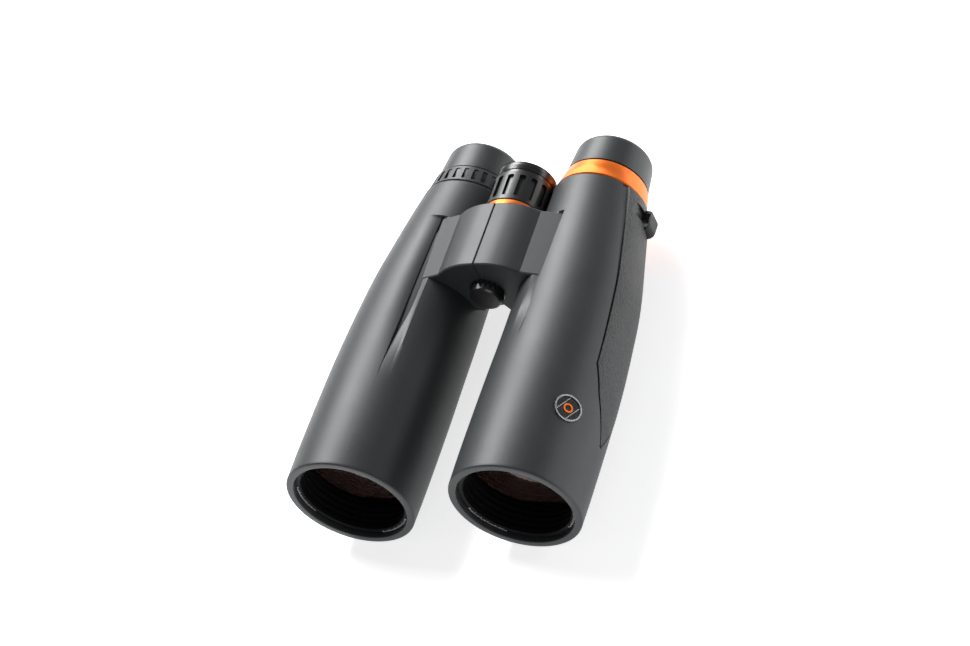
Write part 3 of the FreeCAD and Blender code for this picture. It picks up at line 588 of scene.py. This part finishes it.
SEAM = 0.16
SEAM_ROUND = ((0.0, 0.55), (0.12, 0.2), (0.45, 0.02))
DOME = ((0.0, 21.5), (8.0, 20.95), (14.0, 19.35), (18.0, 17.5), (21.0, 15.5), (23.2, 13.95))
DOME_STEPS = 16
RELIEF = math.radians(155.0)
RELIEF_STEPS = 14
BOSS_ROOM = 9.6
KNUCKLE_ROOM = 13.85
WALL = 2.2
WALL_STEP = 0.01
END_ROUND = ((0.0, 0.9), (0.25, 0.4), (0.9, 0.0))
WING_REACH = 34.4
WING_UNDER = 9.0
FLOOR_DROP = -15.0
FLOOR_REACH = (31.0, 7.4)
BRIDGE_CREASE = 9.0


def bridge_outline(inner, inset):
    """The bridge half's section about the hinge line: dome, wing, floor, relief and inner arc."""
    shrink = 1.0 - inset / DOME[0][1]
    outer = [(SEAM + out, DOME[0][1] - drop) for out, drop in SEAM_ROUND]
    for step in range(1, DOME_STEPS + 1):
        x = DOME[-1][0] * step / DOME_STEPS
        outer.append((x, smooth_curve(DOME, x)))
    outer.append((WING_X, WING_Z))
    outer.append((WING_REACH, WING_Z + WING_SLOPE * (WING_REACH - WING_X)))
    outer.append((WING_REACH, WING_UNDER))
    outer += [(reach, FLOOR_DROP) for reach in FLOOR_REACH]
    points = [(SEAM if x <= SEAM else x * shrink, z * shrink) for x, z in outer]
    turns = [RELIEF * (1 - step / RELIEF_STEPS) for step in range(RELIEF_STEPS)]
    points += [(inner * math.sin(turn), inner * math.cos(turn)) for turn in turns]
    points.append((SEAM, inner))
    return points


def make_bridge_skin(side, sign):
    """Half of the domed bridge cover, hollow round the knuckles, with rounded ends."""
    front, rear = BRIDGE_SPAN
    ends = [(depth, BOSS_ROOM, inset) for depth, inset in END_ROUND]
    ends += [(WALL, BOSS_ROOM, 0.0), (WALL + WALL_STEP, KNUCKLE_ROOM, 0.0)]
    sections = [(front + depth, inner, inset) for depth, inner, inset in ends]
    sections += [(rear - depth, inner, inset) for depth, inner, inset in reversed(ends)]
    rows = [[(sign * x * MM, station(at), HINGE_Z + z * MM) for x, z in bridge_outline(inner, inset)]
            for at, inner, inset in sections]
    mesh = grid_mesh(f"{side}_bridge_skin", rows, close_rows=False)
    count = len(rows[0])
    total = count * len(rows)
    face_outward(mesh, caps=(range(count), reversed(range(total - count, total))))
    piece = place_object(f"{side}_bridge_skin", mesh, f"{side}_half", ARMOUR, BRIDGE_CREASE)
    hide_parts(f"{side}_bridge_cover")


for half, direction_sign in SIDES.items():
    make_skin(half, direction_sign)
    make_bridge_skin(half, direction_sign)

# ---------------------------------------------------------------- printed marks

BEZEL_FACE = 3.0
MARK_GROUPS = {"left": ((192, 240), (316, 356)), "right": ((162, 205), (281, 326))}
MARK_LENGTHS = (1.1, 0.6, 0.6, 0.85, 0.6)
MARK_PITCH = 1.7
MARK_OUTER = 28.8
MARK_HALF_WIDTH = 0.16
MARK_THICKNESS = 0.03
BADGE_FACE = 33.5
BADGE_RING_PARTS = 40
BADGE_RING_RADIUS = 2.05
BADGE_RING_HALF = (0.4, 0.17)
BADGE_RING_THICKNESS = 0.34
BADGE_LINE_OFFSET = 3.3
BADGE_LINE_HALF = (4.9, 0.14)
BADGE_LINE_THICKNESS = 0.05
BADGE_SLANT = (0.85, -0.5)


def slab_mesh(name, slabs):
    """Thin slabs, each from a centre, two half-extent vectors across it and its thickness vector."""
    mesh = bpy.data.meshes.new(name)
    points, faces = [], []
    for centre, first, second, thick in slabs:
        start = len(points)
        for depth in (Vector((0, 0, 0)), thick):
            for across, along in ((-1, -1), (1, -1), (1, 1), (-1, 1)):
                points.append((centre + first * across + second * along + depth) * MM)
        faces += [tuple(start + corner for corner in face) for face in
                  ((0, 1, 2, 3), (7, 6, 5, 4), (0, 4, 5, 1), (1, 5, 6, 2), (2, 6, 7, 3), (3, 7, 4, 0))]
    mesh.from_pydata(points, [], faces)
    face_outward(mesh)
    return mesh


def make_bezel_marks(side):
    """Short printed ticks in two arcs on the bezel's front face."""
    slabs = []
    middle = Vector((OBJECTIVE_X / MM * SIDES[side], FRONT / MM + BEZEL_FACE, OBJECTIVE_Z / MM))
    for low, high in MARK_GROUPS[side]:
        for index in range(int((high - low) / MARK_PITCH)):
            angle = math.radians(low + MARK_PITCH * index)
            outward = Vector((math.cos(angle), 0, math.sin(angle)))
            around = Vector((-outward.z, 0, outward.x))
            length = MARK_LENGTHS[index % len(MARK_LENGTHS)]
            slabs.append((middle + outward * (MARK_OUTER - length / 2), outward * (length / 2),
                          around * MARK_HALF_WIDTH, Vector((0, -MARK_THICKNESS, 0))))
    mesh = slab_mesh(f"{side}_bezel_marks", slabs)
    place_object(f"{side}_bezel_marks", mesh, f"{side}_half", WHITE_PRINT)


def make_badge_marks():
    """The badge's generic ornament: an orange ring between two thin slanting lines."""
    outward = Vector((math.cos(BADGE[1]), 0, math.sin(BADGE[1])))
    upward = Vector((-outward.z, 0, outward.x))
    backward = Vector((0, 1, 0))
    middle = Vector((OBJECTIVE_X / MM, FRONT / MM + BADGE[0], OBJECTIVE_Z / MM))
    centre = middle + outward * BADGE_FACE
    ring = []
    for index in range(BADGE_RING_PARTS):
        angle = 2 * math.pi * (index + 0.5) / BADGE_RING_PARTS
        spoke = upward * math.cos(angle) + backward * math.sin(angle)
        around = backward * math.cos(angle) - upward * math.sin(angle)
        ring.append((centre + spoke * BADGE_RING_RADIUS, spoke * BADGE_RING_HALF[0],
                     around * BADGE_RING_HALF[1], outward * BADGE_RING_THICKNESS))
    mesh = slab_mesh("badge_ring_mark", ring)
    place_object("badge_ring_mark", mesh, "left_half", ORANGE)
    slant = (backward * BADGE_SLANT[0] + upward * BADGE_SLANT[1]).normalized()
    level = outward.cross(slant)
    lines = [(centre + level * offset, slant * BADGE_LINE_HALF[0], level * BADGE_LINE_HALF[1],
              outward * BADGE_LINE_THICKNESS) for offset in (BADGE_LINE_OFFSET, -BADGE_LINE_OFFSET)]
    mesh = slab_mesh("badge_line_marks", lines)
    place_object("badge_line_marks", mesh, "left_half", WHITE_PRINT)


for half in SIDES:
    make_bezel_marks(half)
make_badge_marks()

# ---------------------------------------------------------------- camera, lights and floor

CAMERA_PLACE = Vector((0.5379, -0.6713, 0.8409))
CAMERA_AZIMUTH = math.radians(38.93)
CAMERA_ELEVATION = math.radians(42.99)
CAMERA_ROLL = math.radians(-29.97)
CAMERA_LENS = 85.9
CAMERA_SENSOR = 36.0
CAMERA_CLIP = (0.01, 50.0)
LIGHT_TARGET = Vector((0.0, 0.0, 0.04))
KEY_PLACE, SIDE_PLACE, FRONT_PLACE = (-0.74, 0.80, 1.04), (0.9, 0.5, 0.25), (0.4, -1.3, 0.5)
SKY_COLOUR = (0.96, 0.97, 1.0, 1.0)
SKY_STRENGTH = 0.16
FLOOR_EDGE = 6.0
FLOOR_LEVEL = -0.0002
FLOOR_GLOW = 0.7


def make_camera():
    """The camera, high in front of the left half and rolled."""
    data = bpy.data.cameras.new("camera")
    data.lens = CAMERA_LENS
    data.sensor_width = CAMERA_SENSOR
    camera = bpy.data.objects.new("camera", data)
    bpy.context.scene.collection.objects.link(camera)
    flat = math.cos(CAMERA_ELEVATION)
    ahead = Vector((-math.sin(CAMERA_AZIMUTH) * flat, math.cos(CAMERA_AZIMUTH) * flat,
                    -math.sin(CAMERA_ELEVATION)))
    level = ahead.cross(Vector((0, 0, 1))).normalized()
    rise = level.cross(ahead)
    right = level * math.cos(CAMERA_ROLL) + rise * math.sin(CAMERA_ROLL)
    up = rise * math.cos(CAMERA_ROLL) - level * math.sin(CAMERA_ROLL)
    turn = Matrix((right, up, -ahead)).transposed()
    camera.matrix_world = Matrix.Translation(CAMERA_PLACE) @ turn.to_4x4()
    data.clip_start, data.clip_end = CAMERA_CLIP
    bpy.context.scene.camera = camera


def strip_light(name, place, across, along, power):
    """A soft rectangular light that faces the object, its long side along the barrels."""
    data = bpy.data.lights.new(name, "AREA")
    data.shape = "RECTANGLE"
    data.size = across
    data.size_y = along
    data.energy = power
    light = bpy.data.objects.new(name, data)
    bpy.context.scene.collection.objects.link(light)
    back = (Vector(place) - LIGHT_TARGET).normalized()
    side = Vector((0, 1, 0)).cross(back).normalized()
    turn = Matrix((side, back.cross(side), back)).transposed()
    light.matrix_world = Matrix.Translation(place) @ turn.to_4x4()


def make_lights():
    """A broad key above the right half, a faint strip beside the left one, and a faint front light."""
    strip_light("key", KEY_PLACE, across=0.62, along=1.5, power=46.0)
    strip_light("side", SIDE_PLACE, across=0.25, along=0.9, power=2.5)
    strip_light("front", FRONT_PLACE, across=0.8, along=0.5, power=3.0)
    world = bpy.data.worlds.new("studio")
    world.use_nodes = True
    sky = world.node_tree.nodes["Background"]
    sky.inputs["Color"].default_value = SKY_COLOUR
    sky.inputs["Strength"].default_value = SKY_STRENGTH
    bpy.context.scene.world = world
    bpy.context.scene.view_settings.view_transform = "Standard"


def make_floor():
    """A plain pale floor."""
    mesh = bpy.data.meshes.new("floor")
    corners = ((-1, -1), (1, -1), (1, 1), (-1, 1))
    mesh.from_pydata([(x * FLOOR_EDGE, y * FLOOR_EDGE, FLOOR_LEVEL) for x, y in corners], [],
                     [(0, 1, 2, 3)])
    floor = bpy.data.objects.new("floor", mesh)
    bpy.context.scene.collection.objects.link(floor)
    material, _, shader = new_material("pale_floor")
    shader.inputs["Base Color"].default_value = (0.93, 0.93, 0.93, 1.0)
    shader.inputs["Roughness"].default_value = 0.8
    shader.inputs["Emission Color"].default_value = (1.0, 1.0, 1.0, 1.0)
    shader.inputs["Emission Strength"].default_value = FLOOR_GLOW
    mesh.materials.append(material)


make_camera()
make_lights()
make_floor()
